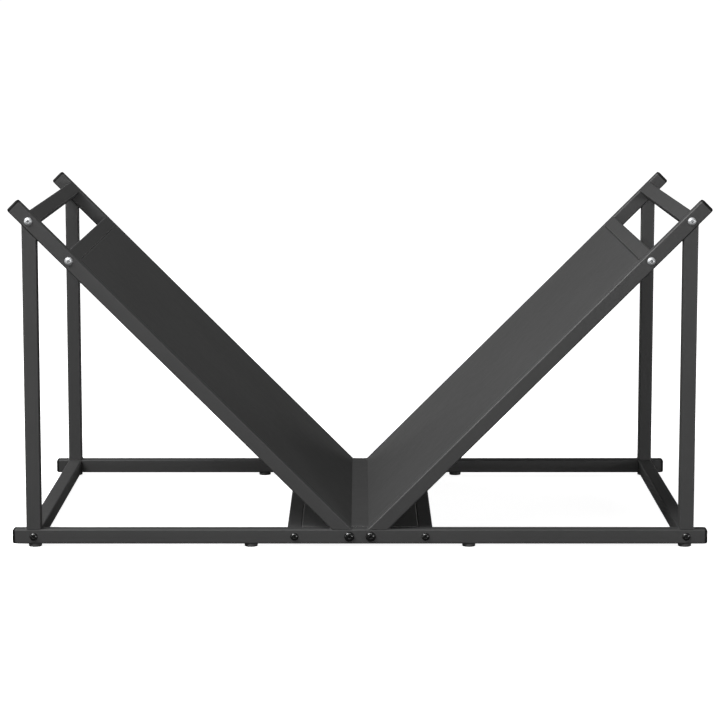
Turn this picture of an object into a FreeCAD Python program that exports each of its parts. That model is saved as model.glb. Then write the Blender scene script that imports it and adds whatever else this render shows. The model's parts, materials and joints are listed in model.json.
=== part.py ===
import FreeCAD, Part
import math
import os

# Firewood log rack. Two identical flat frames of square steel tube, front and rear, each made of
# a bottom rail, two posts and two 45 degree diagonals that meet in a V above the middle of the rail.
# Crossbars bolted between the frames hold them apart. Sheet panels close the two slopes of the V,
# and a sheet plate closes its bottom.
# Millimetres. X runs along the rails, Y from the front frame to the rear one, Z is up.
# The origin is on the floor under the middle of the rack. Left is -X, right is +X, front is -Y.

V = FreeCAD.Vector
X_AXIS = V(1, 0, 0)
Y_AXIS = V(0, 1, 0)
Z_AXIS = V(0, 0, 1)
ORIGIN = V(0, 0, 0)
ROOT_2 = math.sqrt(2.0)

# --- driving dimensions -------------------------------------------------------------------------
OVERALL_WIDTH = 1000.0      # over the plugs at the ends of the rails
FRAME_DEPTH = 600.0         # over the outer faces of the front and rear frames
TUBE = 21.0                 # outside of the square tube
TUBE_WALL = 1.2
TUBE_CORNER = 2.0           # outside corner radius of the tube
SHEET = 1.2                 # thickness of the panels and the plate
PANEL_BEND = 2.0            # outside radius of the panels' bends
PLATE_BEND = 1.4            # outside radius of the plate's bends
FOOT_HEIGHT = 5.0           # floor to the underside of the rails

POST_X = 469.3              # centre of the posts and of the base crossbars
PLATE_BAR_X = 94.4          # centre of the crossbars along the edges of the bottom plate
CENTRE_BAR_X = 15.5         # centre of the crossbars under the bottom of the V
DIAGONAL_REACH = 675.6      # from the centre bolt up the diagonal to the end of its cap
TOP_BAR_FROM_END = 33.0     # end of the cap to the centre of the top crossbar
BAR_SPACING = 80.0          # top crossbar to panel crossbar, along the diagonal

FLANGE_DEPTH = 15.0         # how far the edges of the sheets are turned down
NOTCH_CLEARANCE = 0.3       # each side of a crossbar, where it passes the plate's end flanges
PANEL_FOOT_LENGTH = 31.0    # how far a panel's foot lies on the plate

FOOT_XS = (156.9, 468.0)    # centres of the foot pads on each half of a rail
FOOT_DIAMETER = 19.0
FOOT_STEM_DIAMETER = 8.0
FOOT_STEM_LENGTH = 3.6      # above the rail's underside, barb included
FOOT_BARB_DIAMETER = 9.6
FOOT_EDGE = 1.2             # rounding of the pad's lower edge

PLUG_FLANGE = 4.0           # the part of a plug or cap that shows
PLUG_CORNER = 3.2           # corner radius of that flange
PLUG_DEPTH = 14.0           # the part inside the tube
PLUG_CORE = 14.0            # side of the square core inside the tube
PLUG_RIB = 1.2
PLUG_RIBS = 3
PLUG_EDGE = 2.9             # rounding of the flange's outer edges

INSERT_DEPTH = 12.0         # threaded block in the end of each crossbar
BOLT_LENGTH = 32.0          # under the head
HOLE_CLEARANCE = 0.3        # radial, round a bolt or a foot's stem
THREAD_CLEARANCE = 0.05     # radial, bolt in its threaded block

# Button-head bolts with a hexagon socket.
M6 = {"radius": 3.0, "head": 11.5, "height": 3.3, "socket": 4.0, "socket_depth": 2.1}
M8 = {"radius": 4.0, "head": 14.5, "height": 4.4, "socket": 5.0, "socket_depth": 2.8}
HEAD_RIM = 0.15             # share of a head's height that is a straight rim against the tube
HEAD_FLAT = 0.45            # share of a head's radius that is flat round the socket
DOME_OUT = 0.80             # a point on the dome: its share of the head's radius
DOME_UP = 0.62              # and its share of the dome's height

# --- places that follow from them ---------------------------------------------------------------
HALF = TUBE / 2.0
RAIL_BOTTOM = FOOT_HEIGHT
RAIL_MID = FOOT_HEIGHT + HALF
RAIL_TOP = FOOT_HEIGHT + TUBE
PLATE_TOP = RAIL_TOP + SHEET
FRAME_OUTER_Y = FRAME_DEPTH / 2.0
FRAME_MID_Y = FRAME_OUTER_Y - HALF
BAR_HALF_LENGTH = FRAME_OUTER_Y - TUBE      # crossbars reach from one frame to the other
TOP_BAR_ALONG = DIAGONAL_REACH - TOP_BAR_FROM_END
PANEL_BAR_ALONG = TOP_BAR_ALONG - BAR_SPACING
BORE = TUBE - 2.0 * TUBE_WALL
BORE_CORNER = TUBE_CORNER - TUBE_WALL
BIG = 2.0 * OVERALL_WIDTH                   # size of the solids used only for cutting


# --- shapes -------------------------------------------------------------------------------------
def rounded_square(side, corner):
    """Face of a square with rounded corners, centred on the origin in the XY plane."""
    half = side / 2.0
    flat = half - corner
    knee = flat + corner / ROOT_2
    edges = []
    for quarter in range(4):
        line = Part.makeLine(V(half, -flat, 0), V(half, flat, 0))
        arc = Part.Arc(V(half, flat, 0), V(knee, knee, 0), V(flat, half, 0)).toShape()
        for edge in (line, arc):
            edge.rotate(ORIGIN, Z_AXIS, 90.0 * quarter)
            edges.append(edge)
    return Part.Face(Part.Wire(edges))


def square_bar(side, corner, start, end):
    """Solid bar with rounded corners along Z."""
    bar = rounded_square(side, corner).extrude(V(0, 0, end - start))
    bar.translate(V(0, 0, start))
    return bar


def square_tube(start, end):
    """Length of the rack's square tube along Z."""
    outside = square_bar(TUBE, TUBE_CORNER, start, end)
    inside = square_bar(BORE, BORE_CORNER, start - 1.0, end + 1.0)
    return outside.cut(inside)


def prism(points, half_length):
    """Solid with an outline of (x, z) points, reaching half_length each way along Y."""
    outline = [V(x, -half_length, z) for x, z in points]
    face = Part.Face(Part.makePolygon(outline + outline[:1]))
    return face.extrude(V(0, 2.0 * half_length, 0))


def round_bar_y(radius, start_y, end_y):
    """Cylinder along Y on the Y axis."""
    return Part.makeCylinder(radius, end_y - start_y, V(0, start_y, 0), Y_AXIS)


def moved(shape, x=0.0, y=0.0, z=0.0):
    copy = shape.copy()
    copy.translate(V(x, y, z))
    return copy


def turned(shape, axis, degrees):
    copy = shape.copy()
    copy.rotate(ORIGIN, axis, degrees)
    return copy


def to_left(shape):
    """The same piece on the other side of the rack."""
    return shape.mirror(ORIGIN, X_AXIS)


def to_rear(shape):
    """The same piece in the rear frame."""
    return shape.mirror(ORIGIN, Y_AXIS)


def on_slope(along, up=0.0):
    """(x, z) of a point of the right diagonal's frame: along its centre line from the centre bolt,
    and up across it, towards the trough."""
    return CENTRE_BAR_X + (along - up) / ROOT_2, RAIL_MID + (along + up) / ROOT_2


def along_at_height(height, up):
    """Where the line parallel to the diagonal, up from its centre line, has this height."""
    return (height - RAIL_MID) * ROOT_2 - up


def round_edges(shape, radius, wanted):
    """Fillet the straight edges for which wanted(midpoint) is true."""
    edges = [edge for edge in shape.Edges if wanted(edge.valueAt(edge_middle(edge)))]
    return shape.makeFillet(radius, edges)


def edge_middle(edge):
    return (edge.FirstParameter + edge.LastParameter) / 2.0


# --- frame members ------------------------------------------------------------------------------
RAIL_BOLTS = [(POST_X, M6), (PLATE_BAR_X, M6), (CENTRE_BAR_X, M8)]
SLOPE_BOLTS = [TOP_BAR_ALONG, PANEL_BAR_ALONG]


def bolt_hole(bolt):
    return round_bar_y(bolt["radius"] + HOLE_CLEARANCE, -FRAME_OUTER_Y - 1.0, -BAR_HALF_LENGTH + 1.0)


def front_rail():
    """Bottom rail with its bolt holes and the holes for the feet in its underside."""
    half_length = OVERALL_WIDTH / 2.0 - PLUG_FLANGE
    rail = turned(square_tube(-half_length, half_length), Y_AXIS, 90.0)
    rail = moved(rail, y=-FRAME_MID_Y, z=RAIL_MID)
    for side in (-1, 1):
        for x, bolt in RAIL_BOLTS:
            rail = rail.cut(moved(bolt_hole(bolt), x=side * x, z=RAIL_MID))
        for x in FOOT_XS:
            stem_hole = Part.makeCylinder(FOOT_STEM_DIAMETER / 2.0 + HOLE_CLEARANCE, 2.0 * TUBE_WALL)
            rail = rail.cut(moved(stem_hole, side * x, -FRAME_MID_Y, RAIL_BOTTOM - TUBE_WALL / 2.0))
    return rail


def front_right_post():
    """Post standing on the rail, its top cut to the slope of the diagonal above it."""
    over_slope = POST_X + 2.0 * TUBE
    post = moved(square_tube(RAIL_TOP, over_slope), POST_X, -FRAME_MID_Y)
    low, high = on_slope(-BIG / 2.0, -HALF), on_slope(BIG / 2.0, -HALF)
    above_slope = prism([low, high, (low[0], high[1])], BIG)
    return post.cut(above_slope)


def front_right_diagonal():
    """Sloping tube, its foot cut level with the top of the rail."""
    tube = square_tube(-2.0 * TUBE, DIAGONAL_REACH - PLUG_FLANGE)
    tube = turned(tube, Y_AXIS, 45.0)
    tube = moved(tube, CENTRE_BAR_X, -FRAME_MID_Y, RAIL_MID)
    below_rail_top = Part.makeBox(BIG, BIG, BIG, V(-BIG / 2.0, -BIG / 2.0, RAIL_TOP - BIG))
    tube = tube.cut(below_rail_top)
    for along in SLOPE_BOLTS:
        x, z = on_slope(along)
        tube = tube.cut(moved(bolt_hole(M6), x=x, z=z))
    return tube


# --- crossbars, their threaded end blocks and the bolts -----------------------------------------
def crossbar(x, z, turn=0.0):
    tube = turned(square_tube(-BAR_HALF_LENGTH, BAR_HALF_LENGTH), Z_AXIS, turn)
    return moved(turned(tube, X_AXIS, -90.0), x=x, z=z)


def end_block(bolt, x, z, turn=0.0):
    """Threaded block welded into the front end of a crossbar."""
    block = square_bar(BORE, BORE_CORNER, -BAR_HALF_LENGTH, -BAR_HALF_LENGTH + INSERT_DEPTH)
    block = turned(turned(block, Z_AXIS, turn), X_AXIS, -90.0)
    thread = round_bar_y(bolt["radius"] + THREAD_CLEARANCE, -FRAME_OUTER_Y, 0.0)
    return moved(block.cut(thread), x=x, z=z)


def button_bolt(bolt, x, z):
    """Button-head bolt entering the front frame from outside."""
    head_radius = bolt["head"] / 2.0
    height = bolt["height"]
    rim = height * HEAD_RIM
    top = head_radius * HEAD_FLAT
    shoulder = V(head_radius * DOME_OUT, rim + (height - rim) * DOME_UP, 0)
    dome = Part.Arc(V(head_radius, rim, 0), shoulder, V(top, height, 0)).toShape()
    outline = [Part.makePolygon([V(0, height, 0), V(0, -BOLT_LENGTH, 0),
                                 V(bolt["radius"], -BOLT_LENGTH, 0), V(bolt["radius"], 0, 0),
                                 V(head_radius, 0, 0), V(head_radius, rim, 0)]),
               dome, Part.makeLine(V(top, height, 0), V(0, height, 0))]
    edges = [edge for piece in outline for edge in piece.Edges]
    solid = Part.Face(Part.Wire(edges)).revolve(ORIGIN, Y_AXIS, 360.0)
    corner = bolt["socket"] / math.sqrt(3.0)
    hexagon = [V(corner * math.cos(math.radians(60.0 * i)), height + 1.0,
                 corner * math.sin(math.radians(60.0 * i))) for i in range(7)]
    socket = Part.Face(Part.makePolygon(hexagon)).extrude(V(0, -1.0 - bolt["socket_depth"], 0))
    solid = turned(solid.cut(socket), Z_AXIS, 180.0)
    return moved(solid, x, -FRAME_OUTER_Y, z)


# --- sheet panels and plate ---------------------------------------------------------------------
def right_side_panel():
    """Sheet between the diagonals, flush with their upper faces. Its front, rear and upper edges
    are turned down, and its foot lies on the bottom plate."""
    upper = PANEL_BAR_ALONG - HALF
    skirt = HALF - FLANGE_DEPTH
    outline = [on_slope(along_at_height(PLATE_TOP, HALF), HALF), on_slope(upper, HALF),
               on_slope(upper, skirt), on_slope(along_at_height(PLATE_TOP, skirt), skirt)]
    tray = prism(outline, BAR_HALF_LENGTH)
    tray = round_edges(tray, PANEL_BEND, lambda p: is_bend(p, HALF, BAR_HALF_LENGTH, upper))

    under = HALF - SHEET
    inner_half = BAR_HALF_LENGTH - SHEET
    hollow = prism([on_slope(-BIG, under), on_slope(upper - SHEET, under),
                    on_slope(upper - SHEET, -BIG), on_slope(-BIG, -BIG)], inner_half)
    hollow = round_edges(hollow, PANEL_BEND - SHEET,
                         lambda p: is_bend(p, under, inner_half, upper - SHEET))
    tray = tray.cut(hollow)

    low_x = on_slope(along_at_height(PLATE_TOP, under), under)[0]
    foot = prism([(low_x, PLATE_TOP), (low_x + PANEL_FOOT_LENGTH, PLATE_TOP),
                  (low_x + PANEL_FOOT_LENGTH, PLATE_TOP + SHEET), (low_x + SHEET, PLATE_TOP + SHEET)],
                 inner_half)
    return tray.fuse(foot).removeSplitter()


def is_bend(point, up, half_length, upper):
    """True on the front, rear and upper edges of the face that lies up from the centre line."""
    along_up = (point.z - RAIL_MID - (point.x - CENTRE_BAR_X)) / ROOT_2
    along = (point.z - RAIL_MID + (point.x - CENTRE_BAR_X)) / ROOT_2
    on_face = abs(along_up - up) < 0.01
    return on_face and (abs(abs(point.y) - half_length) < 0.01 or abs(along - upper) < 0.01)


def bottom_plate():
    """Shallow tray, upside down on the centre crossbars between the two plate crossbars. Its end
    flanges are notched where the centre crossbars pass."""
    half_width = PLATE_BAR_X - HALF
    outside = box_below(half_width, BAR_HALF_LENGTH, PLATE_TOP, FLANGE_DEPTH)
    outside = round_edges(outside, PLATE_BEND, lambda p: abs(p.z - PLATE_TOP) < 0.01)
    inside = box_below(half_width - SHEET, BAR_HALF_LENGTH - SHEET, RAIL_TOP, FLANGE_DEPTH)
    inside = round_edges(inside, PLATE_BEND - SHEET, lambda p: abs(p.z - RAIL_TOP) < 0.01)
    tray = outside.cut(inside)
    notch = box_below(HALF + NOTCH_CLEARANCE, BIG, RAIL_TOP, FLANGE_DEPTH)
    for side in (-1, 1):
        tray = tray.cut(moved(notch, x=side * CENTRE_BAR_X))
    return tray


def box_below(half_x, half_y, top, depth):
    """Box centred on the Z axis, from a height down."""
    return Part.makeBox(2.0 * half_x, 2.0 * half_y, depth, V(-half_x, -half_y, top - depth))


# --- plastic plugs, caps and feet ---------------------------------------------------------------
def tube_plug():
    """Push-in plug on the Z axis: the flange's inner face at Z = 0, the body below it."""
    flange = square_bar(TUBE, PLUG_CORNER, 0.0, PLUG_FLANGE)
    flange = flange.makeFillet(PLUG_EDGE, [edge for edge in flange.Edges
                                           if edge.BoundBox.ZMin > PLUG_FLANGE - 0.01])
    body = square_bar(PLUG_CORE, BORE_CORNER, -PLUG_DEPTH, 0.0)
    pitch = PLUG_DEPTH / PLUG_RIBS
    for rib in range(PLUG_RIBS):
        top = -rib * pitch - PLUG_RIB
        body = body.fuse(square_bar(BORE, BORE_CORNER, top - PLUG_RIB, top))
    return flange.fuse(body).removeSplitter()


def front_right_rail_plug():
    plug = turned(tube_plug(), Y_AXIS, 90.0)
    return moved(plug, OVERALL_WIDTH / 2.0 - PLUG_FLANGE, -FRAME_MID_Y, RAIL_MID)


def front_right_diagonal_cap():
    x, z = on_slope(DIAGONAL_REACH - PLUG_FLANGE)
    return moved(turned(tube_plug(), Y_AXIS, 45.0), x, -FRAME_MID_Y, z)


def foot_pad():
    """Round pad with a barbed stem that snaps through the rail's lower wall."""
    pad = Part.makeCylinder(FOOT_DIAMETER / 2.0, FOOT_HEIGHT)
    pad = pad.makeFillet(FOOT_EDGE, [edge for edge in pad.Edges if edge.BoundBox.ZMax < 0.01])
    stem = Part.makeCylinder(FOOT_STEM_DIAMETER / 2.0, FOOT_STEM_LENGTH, V(0, 0, RAIL_BOTTOM))
    barb_height = FOOT_STEM_LENGTH - TUBE_WALL
    barb = Part.makeCone(FOOT_BARB_DIAMETER / 2.0, FOOT_STEM_DIAMETER / 2.0 - 1.0, barb_height,
                         V(0, 0, RAIL_BOTTOM + TUBE_WALL))
    return pad.fuse(stem.fuse(barb)).removeSplitter()


# --- assembly -----------------------------------------------------------------------------------
def four_corners(name, shape):
    """A piece of the front right corner, and the same piece at the other three."""
    return {"front_right_" + name: shape, "front_left_" + name: to_left(shape),
            "rear_right_" + name: to_rear(shape), "rear_left_" + name: to_left(to_rear(shape))}


def both_sides(name, shape):
    return {"right_" + name: shape, "left_" + name: to_left(shape)}


def front_and_rear_group(name, shapes):
    """Identical small pieces on both sides, one group in each frame."""
    front = shapes + [to_left(shape) for shape in shapes]
    return {"front_" + name: Part.makeCompound(front),
            "rear_" + name: Part.makeCompound([to_rear(shape) for shape in front])}


def rack():
    top_bar = on_slope(TOP_BAR_ALONG)
    panel_bar = on_slope(PANEL_BAR_ALONG)
    nodes = {"front_bottom_rail": front_rail(), "rear_bottom_rail": to_rear(front_rail())}
    nodes.update(four_corners("post", front_right_post()))
    nodes.update(four_corners("diagonal", front_right_diagonal()))

    nodes.update(both_sides("base_crossbar", crossbar(POST_X, RAIL_MID)))
    nodes.update(both_sides("plate_crossbar", crossbar(PLATE_BAR_X, RAIL_MID)))
    nodes.update(both_sides("centre_crossbar", crossbar(CENTRE_BAR_X, RAIL_MID)))
    nodes.update(both_sides("top_crossbar", crossbar(*top_bar, turn=45.0)))
    nodes.update(both_sides("panel_crossbar", crossbar(*panel_bar, turn=45.0)))

    nodes.update(both_sides("side_panel", right_side_panel()))
    nodes["bottom_plate"] = bottom_plate()

    nodes.update(four_corners("rail_plug", front_right_rail_plug()))
    nodes.update(four_corners("diagonal_cap", front_right_diagonal_cap()))
    for place, x in zip(("inner_foot", "outer_foot"), FOOT_XS):
        nodes.update(four_corners(place, moved(foot_pad(), x, -FRAME_MID_Y)))

    small = [(x, RAIL_MID) for x, bolt in RAIL_BOLTS if bolt is M6]
    large = [(x, RAIL_MID) for x, bolt in RAIL_BOLTS if bolt is M8]
    slope = [top_bar, panel_bar]
    nodes.update(front_and_rear_group("rail_bolts_m6", [button_bolt(M6, *at) for at in small]))
    nodes.update(front_and_rear_group("rail_bolts_m8", [button_bolt(M8, *at) for at in large]))
    nodes.update(front_and_rear_group("diagonal_bolts_m6", [button_bolt(M6, *at) for at in slope]))
    blocks = [end_block(M6, *at) for at in small] + [end_block(M6, *at, turn=45.0) for at in slope]
    nodes.update(front_and_rear_group("threaded_blocks_m6", blocks))
    nodes.update(front_and_rear_group("threaded_blocks_m8", [end_block(M8, *at) for at in large]))
    return nodes


def main():
    os.makedirs("parts", exist_ok=True)
    for name, shape in rack().items():
        assert shape.isValid(), name
        shape.exportStep("parts/" + name + ".step")
        print(name, len(shape.Solids), round(shape.Volume))


main()
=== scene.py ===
import json
import math

import bmesh
import bpy
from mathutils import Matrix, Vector


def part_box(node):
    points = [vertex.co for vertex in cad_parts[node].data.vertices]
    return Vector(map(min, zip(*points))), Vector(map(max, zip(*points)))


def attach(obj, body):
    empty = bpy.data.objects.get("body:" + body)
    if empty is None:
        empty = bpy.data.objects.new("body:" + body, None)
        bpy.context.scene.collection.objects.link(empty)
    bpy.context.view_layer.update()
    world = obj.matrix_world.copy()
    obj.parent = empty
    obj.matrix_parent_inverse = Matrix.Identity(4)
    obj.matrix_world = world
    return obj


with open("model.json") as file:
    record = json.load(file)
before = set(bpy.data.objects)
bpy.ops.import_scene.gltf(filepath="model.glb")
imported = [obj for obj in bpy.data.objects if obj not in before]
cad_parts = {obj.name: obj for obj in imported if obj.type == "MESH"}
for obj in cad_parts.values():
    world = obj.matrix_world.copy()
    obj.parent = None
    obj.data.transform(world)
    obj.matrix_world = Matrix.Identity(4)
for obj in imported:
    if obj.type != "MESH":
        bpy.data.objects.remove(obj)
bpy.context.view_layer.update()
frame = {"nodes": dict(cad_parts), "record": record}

# Metres throughout. X runs along the rails, Y from the front frame to the rear one, Z is up.
MM = 0.001

# Camera: how far it stands in front of the front rail, how high, and how far it looks down.
CAMERA_DISTANCE = 3.842
CAMERA_HEIGHT = 0.801
CAMERA_PITCH = math.radians(7.84)
CAMERA_LENS = 136.07        # in millimetres, like the width of the sensor
CAMERA_SENSOR = 36.0

FLOOR_SIZE = 400.0
FLOOR_WHITE = 0.9               # colour of the paper, as a grey level
FLOOR_GLOW = 0.91               # emission near the rack
FLOOR_GLOW_FADE = (0.8, 3.0)    # distances from the rack's middle between which it rises to 1

LIGHT_TARGET = (0.0, 0.0, 0.2)
AMBIENT = 0.05              # how bright the surroundings are to everything but the camera

NOISE_SPAN = (0.3, 0.7)     # nearly all values of a noise lie between these
COAT_RELIEF = 0.4           # strength of the bumps in the powder coat
FINE_RELIEF = 0.5           # strength of the bumps in the other finishes

# Painted shade in the sockets of the plated bolts: their colour is made darker where the head's own
# walls close a place in, standing in for the shade that falls there.
PAINTED_SHADE_REACH = 2.5 * MM         # how far off a wall still darkens a place with painted shade
SOCKET_PAINTED_SHADE = 0.15             # colour of the places with the most painted shade, as a share of the head's
PAINTED_SHADE_OPENNESS = (0.3, 0.95)   # how open to the air the places with the most painted shade and with none are

# Weld beads: fillets across the tube joints, ground away on the frames' flat faces.
WELD_WIDTH = 2.3 * MM       # toe to toe
WELD_BULGE = 0.3 * MM       # how far the middle stands out from the line between the toes
WELD_BURIED = 0.2 * MM      # how deep the toes and the root go into the tubes
WELD_MARGIN = 2.2 * MM      # from the tube's flat face to the end of a bead
RIPPLE_PITCH = 1.4 * MM
RIPPLE_DEPTH = 0.16 * MM
RIPPLE_BOW = 0.7 * MM       # how far a ripple's middle runs ahead of its ends at a bead's start
RIPPLE_RINGS = 5            # rings of vertices to a ripple
BEAD_POINTS = 9             # vertices across a bead
BEAD_END = 0.3              # size of a bead's very ends, as a share of its middle
BEAD_TAPER = 0.049          # share of a bead's length over which each end grows to full size


# --- shader helpers -----------------------------------------------------------------------------
def grey(level, tint=0.0):
    """Neutral colour, or one made a little bluer by a tint."""
    return (level * (1.0 - tint), level, level * (1.0 + tint))


class Shader:
    """A material's node tree, with short calls for the nodes used here."""

    def __init__(self, name):
        self.material = bpy.data.materials.new(name)
        self.material.use_nodes = True
        self.nodes = self.material.node_tree.nodes
        self.links = self.material.node_tree.links
        self.surface = self.nodes["Principled BSDF"]
        coordinates = self.nodes.new("ShaderNodeTexCoord")
        self.place = coordinates.outputs["Object"]

    def link(self, output, node, socket):
        self.links.new(output, node.inputs[socket])

    def noise(self, size, seed, detail=2.0, roughness=0.5):
        """Noise whose blobs are about size metres across, as a 0 to 1 value."""
        node = self.nodes.new("ShaderNodeTexNoise")
        node.noise_dimensions = "4D"
        node.inputs["W"].default_value = seed
        node.inputs["Scale"].default_value = 1.0 / size
        node.inputs["Detail"].default_value = detail
        node.inputs["Roughness"].default_value = roughness
        self.link(self.place, node, "Vector")
        return node.outputs["Fac"]

    def ramp(self, value, low, high, at=NOISE_SPAN):
        """Number that goes from low to high as a value goes between two positions."""
        node = self.nodes.new("ShaderNodeMapRange")
        node.inputs["From Min"].default_value = at[0]
        node.inputs["From Max"].default_value = at[1]
        node.inputs["To Min"].default_value = low
        node.inputs["To Max"].default_value = high
        self.link(value, node, "Value")
        return node.outputs["Result"]

    def blend(self, value, low, high, at=NOISE_SPAN):
        """Colour that goes from low to high in the same way. High may be the output of a node."""
        node = self.nodes.new("ShaderNodeMix")
        node.data_type = "RGBA"
        node.inputs["A"].default_value = (*low, 1.0)
        if isinstance(high, tuple):
            node.inputs["B"].default_value = (*high, 1.0)
        else:
            self.link(high, node, "B")
        self.link(self.ramp(value, 0.0, 1.0, at), node, "Factor")
        return node.outputs["Result"]

    def mottle(self, value, level, spread):
        """Grey that a value makes darker and lighter by up to a share of its level."""
        return self.blend(value, grey(level * (1.0 - spread)), grey(level * (1.0 + spread)))

    def openness(self, reach):
        """How open each place is to the air, from 0 to 1. Only its own piece, and only as much of
        it as lies within this reach, closes it in."""
        node = self.nodes.new("ShaderNodeAmbientOcclusion")
        node.only_local = True
        node.inputs["Distance"].default_value = reach
        return node.outputs["AO"]

    def bump(self, height, depth, strength, under=None):
        """Surface direction with bumps of this depth, on top of those under it."""
        node = self.nodes.new("ShaderNodeBump")
        node.inputs["Distance"].default_value = depth
        node.inputs["Strength"].default_value = strength
        self.link(height, node, "Height")
        if under is not None:
            self.link(under, node, "Normal")
        return node.outputs["Normal"]

    def set(self, **values):
        for socket, value in values.items():
            self.surface.inputs[socket.replace("_", " ")].default_value = value

    def feed(self, **outputs):
        for socket, output in outputs.items():
            self.link(output, self.surface, socket.replace("_", " "))


# --- the CAD pieces' finishes -------------------------------------------------------------------
def powder_coat(name, level):
    """Matt powder coat: fine orange peel, a finer grit, and faint unevenness in tone and gloss."""
    coat = Shader(name)
    patches = coat.noise(size=90.0 * MM, seed=1.0, detail=5.0, roughness=0.6)
    gloss = coat.noise(size=20.0 * MM, seed=2.0, detail=4.0, roughness=0.65)
    peel = coat.noise(size=1.6 * MM, seed=3.0)
    grit = coat.noise(size=0.35 * MM, seed=4.0, detail=1.0)
    peeled = coat.bump(peel, depth=0.03 * MM, strength=COAT_RELIEF)
    coat.feed(Base_Color=coat.mottle(patches, level, spread=0.06))
    coat.feed(Roughness=coat.ramp(gloss, low=0.44, high=0.48))
    coat.feed(Normal=coat.bump(grit, depth=0.01 * MM, strength=COAT_RELIEF, under=peeled))
    coat.set(Specular_IOR_Level=0.45)
    return coat.material


def moulded_plastic(name, level, roughness):
    """Moulded plastic with a fine spark-eroded grain."""
    plastic = Shader(name)
    patches = plastic.noise(size=30.0 * MM, seed=5.0, detail=4.0)
    gloss = plastic.noise(size=4.0 * MM, seed=6.0, detail=3.0)
    grain = plastic.noise(size=0.5 * MM, seed=7.0)
    plastic.feed(Base_Color=plastic.mottle(patches, level, spread=0.08))
    plastic.feed(Roughness=plastic.ramp(gloss, low=roughness - 0.05, high=roughness + 0.05))
    plastic.feed(Normal=plastic.bump(grain, depth=0.03 * MM, strength=FINE_RELIEF))
    plastic.set(Specular_IOR_Level=0.2)
    return plastic.material


def plated_steel(name, level, roughness, tint, metallic):
    """Steel with faint cloudy patches and a fine grain, its colour darkened down in its sockets as
    painted shade.
    """
    steel = Shader(name)
    clouds = steel.noise(size=3.0 * MM, seed=8.0, detail=5.0, roughness=0.7)
    grain = steel.noise(size=0.4 * MM, seed=9.0, detail=3.0)
    cloudy = steel.blend(clouds, grey(level * 0.88, tint), grey(level, tint))
    # Painted shade: the colour darkens towards the socket colour where the head's own walls close a
    # place in.
    painted_socket_shade = grey(level * SOCKET_PAINTED_SHADE, tint)
    colour = steel.blend(steel.openness(PAINTED_SHADE_REACH), painted_socket_shade, cloudy, at=PAINTED_SHADE_OPENNESS)
    steel.feed(Base_Color=colour)
    steel.feed(Roughness=steel.ramp(clouds, low=roughness, high=roughness + 0.12))
    steel.feed(Normal=steel.bump(grain, depth=0.01 * MM, strength=FINE_RELIEF))
    steel.set(Metallic=metallic)
    return steel.material


def black_finish(name, level, roughness):
    """Glossy black bolt finish, slightly uneven."""
    black = Shader(name)
    patches = black.noise(size=2.0 * MM, seed=10.0, detail=4.0)
    grain = black.noise(size=0.6 * MM, seed=11.0)
    black.feed(Base_Color=black.mottle(patches, level, spread=0.2))
    black.feed(Roughness=black.ramp(patches, low=roughness - 0.04, high=roughness + 0.08))
    black.feed(Normal=black.bump(grain, depth=0.01 * MM, strength=FINE_RELIEF))
    black.set(Specular_IOR_Level=0.7)
    return black.material


# By the names of the record's material slots.
FINISHES = {
    "tube_powder_coat": powder_coat("tube_coat", level=0.045),
    "sheet_powder_coat": powder_coat("sheet_coat", level=0.045),
    "black_plastic": moulded_plastic("cap_plastic", level=0.005, roughness=0.5),
    "grey_pad": moulded_plastic("pad_plastic", level=0.075, roughness=0.7),
    "zinc_plated_steel": plated_steel("zinc", level=0.75, roughness=0.36, tint=0.02, metallic=0.6),
    "black_bolt": black_finish("bolt_black", level=0.01, roughness=0.18),
    "bare_steel": plated_steel("steel", level=0.5, roughness=0.35, tint=0.01, metallic=1.0),
}


def finish_nodes():
    for subpart in frame["record"]["subparts"]:
        mesh = frame["nodes"][subpart["node"]].data
        mesh.materials.clear()
        mesh.materials.append(FINISHES[subpart["material_slot"]])


# --- weld beads ---------------------------------------------------------------------------------
def bead_outline(corner, first, second, size):
    """Closed cross-section in the XZ plane of a fillet between two surfaces that leave a corner in
    these directions: its points, each with its rise, which is 0 at the toes and 1 in the middle.
    It runs from toe to toe over the bulge, and back through the root."""
    outward = (first + second).normalized()
    half_angle = first.angle(second) / 2.0
    leg = size * WELD_WIDTH / (2.0 * math.sin(half_angle))
    toe_a = corner + first * leg - outward * WELD_BURIED
    toe_b = corner + second * leg - outward * WELD_BURIED
    points = []
    for step in range(BEAD_POINTS):
        across = step / (BEAD_POINTS - 1)
        rise = 4.0 * across * (1.0 - across)
        height = size * (WELD_BULGE * rise + WELD_BURIED)
        points.append((toe_a.lerp(toe_b, across) + outward * height * rise, rise))
    points.append((corner - outward * WELD_BURIED, 0.0))
    return points


def ripple(distance):
    """Height of the scalloped surface at a distance along a bead, 0 at a groove and 1 at a crest."""
    phase = (distance / RIPPLE_PITCH) % 1.0
    return math.sqrt(math.sin(math.pi * phase))


def bead_size(share):
    """Size of a bead at a share of its length, 1 all along except where its ends taper."""
    from_end = min(share, 1.0 - share)
    grown = math.sqrt(min(1.0, from_end / BEAD_TAPER))
    return BEAD_END + (1.0 - BEAD_END) * grown


def add_bead(mesh, corner, first, second, start, end):
    """Adds one closed bead along Y to a bmesh."""
    length = end - start
    outward = (first + second).normalized()
    rings = int(length / RIPPLE_PITCH) * RIPPLE_RINGS
    previous = None
    for ring in range(rings + 1):
        share = ring / rings
        row = []
        for point, rise in bead_outline(corner, first, second, bead_size(share)):
            groove = RIPPLE_DEPTH * rise * (1.0 - ripple(share * length))
            place = point - outward * groove
            along = start + share * length + RIPPLE_BOW * rise * (1.0 - share)
            row.append(mesh.verts.new((place.x, along, place.z)))
        count = len(row)
        if previous is None:
            mesh.faces.new(row)
        else:
            for index in range(count):
                after = (index + 1) % count
                mesh.faces.new((previous[index], previous[after], row[after], row[index]))
        previous = row
    mesh.faces.new(list(reversed(previous)))


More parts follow.
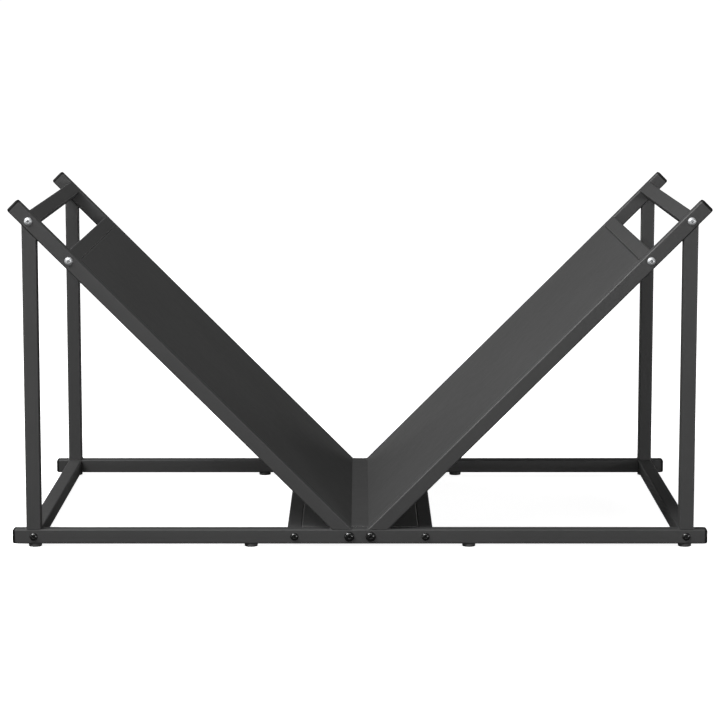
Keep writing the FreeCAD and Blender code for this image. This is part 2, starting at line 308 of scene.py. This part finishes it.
def joint_corners():
    """Corners where the tubes of the front right joints meet: each a point and the directions of
    its two surfaces, in the XZ plane."""
    left = Vector((-1, 0, 0))
    right = Vector((1, 0, 0))
    up = Vector((0, 0, 1))
    down = Vector((0, 0, -1))
    slope_up = (right + up).normalized()
    rail_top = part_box("front_bottom_rail")[1].z
    post_low, post_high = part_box("front_right_post")
    tube = post_high.x - post_low.x
    foot_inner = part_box("front_right_diagonal")[0].x
    foot_outer = foot_inner + tube * math.sqrt(2.0)
    return [
        (Vector((post_low.x, 0.0, rail_top)), left, up),
        (Vector((post_high.x, 0.0, rail_top)), right, up),
        (Vector((post_low.x, 0.0, post_high.z - tube)), down, -slope_up),
        (Vector((post_high.x, 0.0, post_high.z)), down, slope_up),
        (Vector((foot_inner, 0.0, rail_top)), left, slope_up),
        (Vector((foot_outer, 0.0, rail_top)), right, slope_up),
    ]


def mesh_piece(name, mesh):
    """Object with smooth shading made from a bmesh, which is freed."""
    data = bpy.data.meshes.new(name)
    mesh.to_mesh(data)
    mesh.free()
    data.shade_smooth()
    piece = bpy.data.objects.new(name, data)
    bpy.context.scene.collection.objects.link(piece)
    return piece


def weld_beads():
    """The beads of each of the frames' four corners, as one piece."""
    low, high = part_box("front_bottom_rail")
    start, end = low.y + WELD_MARGIN, high.y - WELD_MARGIN
    for depth, y_sign in (("front", 1.0), ("rear", -1.0)):
        for side, x_sign in (("right", 1.0), ("left", -1.0)):
            mesh = bmesh.new()
            for corner, first, second in joint_corners():
                add_bead(mesh, corner, first, second, start, end)
            bmesh.ops.scale(mesh, vec=(x_sign, y_sign, 1.0), verts=mesh.verts)
            bmesh.ops.recalc_face_normals(mesh, faces=mesh.faces)
            piece = mesh_piece(f"{depth}_{side}_weld_beads", mesh)
            piece.data.materials.append(FINISHES["tube_powder_coat"])
            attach(piece, "root")


# --- studio -------------------------------------------------------------------------------------
def softbox(name, place, size, watts):
    """A soft rectangular lamp aimed at the rack's lower middle."""
    lamp = bpy.data.lights.new(name, "AREA")
    lamp.shape = "RECTANGLE"
    lamp.size, lamp.size_y = size
    lamp.energy = watts
    thing = bpy.data.objects.new(name, lamp)
    thing.location = place
    thing.visible_camera = False
    direction = Vector(LIGHT_TARGET) - thing.location
    thing.rotation_euler = direction.to_track_quat("-Z", "Y").to_euler()
    bpy.context.scene.collection.objects.link(thing)


def studio_lights():
    softbox("key", place=(-2.2, -1.6, 3.0), size=(1.8, 1.8), watts=173.0)
    softbox("front_low", place=(0.0, -4.2, 0.5), size=(3.0, 1.0), watts=25.0)
    softbox("front_right_low", place=(3.4, -3.4, 0.5), size=(2.0, 0.9), watts=45.0)
    softbox("overhead_front", place=(0.0, -1.8, 3.2), size=(2.4, 1.2), watts=30.0)
    softbox("rear_left", place=(-2.0, 2.5, 2.6), size=(2.0, 2.0), watts=18.0)
    # Low fills for the faces that look to the sides, to the rear and down.
    softbox("left_fill", place=(-3.4, 0.5, 0.35), size=(2.4, 0.6), watts=30.0)
    softbox("right_fill", place=(3.4, 0.5, 0.35), size=(2.4, 0.6), watts=30.0)
    softbox("rear_left_fill", place=(-3.4, 3.4, 0.5), size=(2.0, 0.9), watts=30.0)
    softbox("rear_right_fill", place=(3.4, 3.4, 0.5), size=(2.0, 0.9), watts=30.0)


def studio_world():
    """White to the camera, and dim to everything that it lights."""
    world = bpy.data.worlds.new("studio")
    bpy.context.scene.world = world
    world.use_nodes = True
    nodes, links = world.node_tree.nodes, world.node_tree.links
    backdrop = nodes["Background"]
    backdrop.inputs["Color"].default_value = (1.0, 1.0, 1.0, 1.0)
    ambient = nodes.new("ShaderNodeBackground")
    ambient.inputs["Color"].default_value = (AMBIENT, AMBIENT, AMBIENT, 1.0)
    path = nodes.new("ShaderNodeLightPath")
    mix = nodes.new("ShaderNodeMixShader")
    links.new(path.outputs["Is Camera Ray"], mix.inputs["Fac"])
    links.new(ambient.outputs[0], mix.inputs[1])
    links.new(backdrop.outputs[0], mix.inputs[2])
    links.new(mix.outputs[0], nodes["World Output"].inputs["Surface"])


def floor_paper():
    """White paper that shows faint shadows near the rack and is plain white further away."""
    paper = Shader("floor_paper")
    distance = paper.nodes.new("ShaderNodeVectorMath")
    distance.operation = "LENGTH"
    paper.link(paper.place, distance, "Vector")
    glow = paper.ramp(distance.outputs["Value"], low=FLOOR_GLOW, high=1.0, at=FLOOR_GLOW_FADE)
    paper.feed(Emission_Strength=glow)
    paper.set(Emission_Color=(1.0, 1.0, 1.0, 1.0))
    paper.set(Base_Color=(FLOOR_WHITE, FLOOR_WHITE, FLOOR_WHITE, 1.0))
    paper.set(Roughness=1.0, Specular_IOR_Level=0.0)
    return paper.material


def studio_floor():
    """A wide plane under the rack that neither lights it nor shows in its gloss."""
    half = FLOOR_SIZE / 2.0
    mesh = bpy.data.meshes.new("floor")
    corners = [(-half, -half, 0.0), (half, -half, 0.0), (half, half, 0.0), (-half, half, 0.0)]
    mesh.from_pydata(corners, [], [(0, 1, 2, 3)])
    mesh.materials.append(floor_paper())
    floor = bpy.data.objects.new("floor", mesh)
    floor.visible_glossy = False
    floor.visible_diffuse = False
    bpy.context.scene.collection.objects.link(floor)


def studio_camera():
    data = bpy.data.cameras.new("camera")
    data.lens = CAMERA_LENS
    data.sensor_width = CAMERA_SENSOR
    data.clip_end = FLOOR_SIZE
    camera = bpy.data.objects.new("camera", data)
    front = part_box("front_bottom_rail")[0].y
    camera.location = (0.0, front - CAMERA_DISTANCE, CAMERA_HEIGHT)
    camera.rotation_euler = (math.pi / 2.0 - CAMERA_PITCH, 0.0, 0.0)
    bpy.context.scene.collection.objects.link(camera)
    bpy.context.scene.camera = camera


def colour_management():
    view = bpy.context.scene.view_settings
    view.view_transform = "Standard"
    view.look = "None"
    view.exposure = 0.0
    view.gamma = 1.0


studio_camera()
finish_nodes()
weld_beads()
studio_lights()
studio_world()
studio_floor()
colour_management()
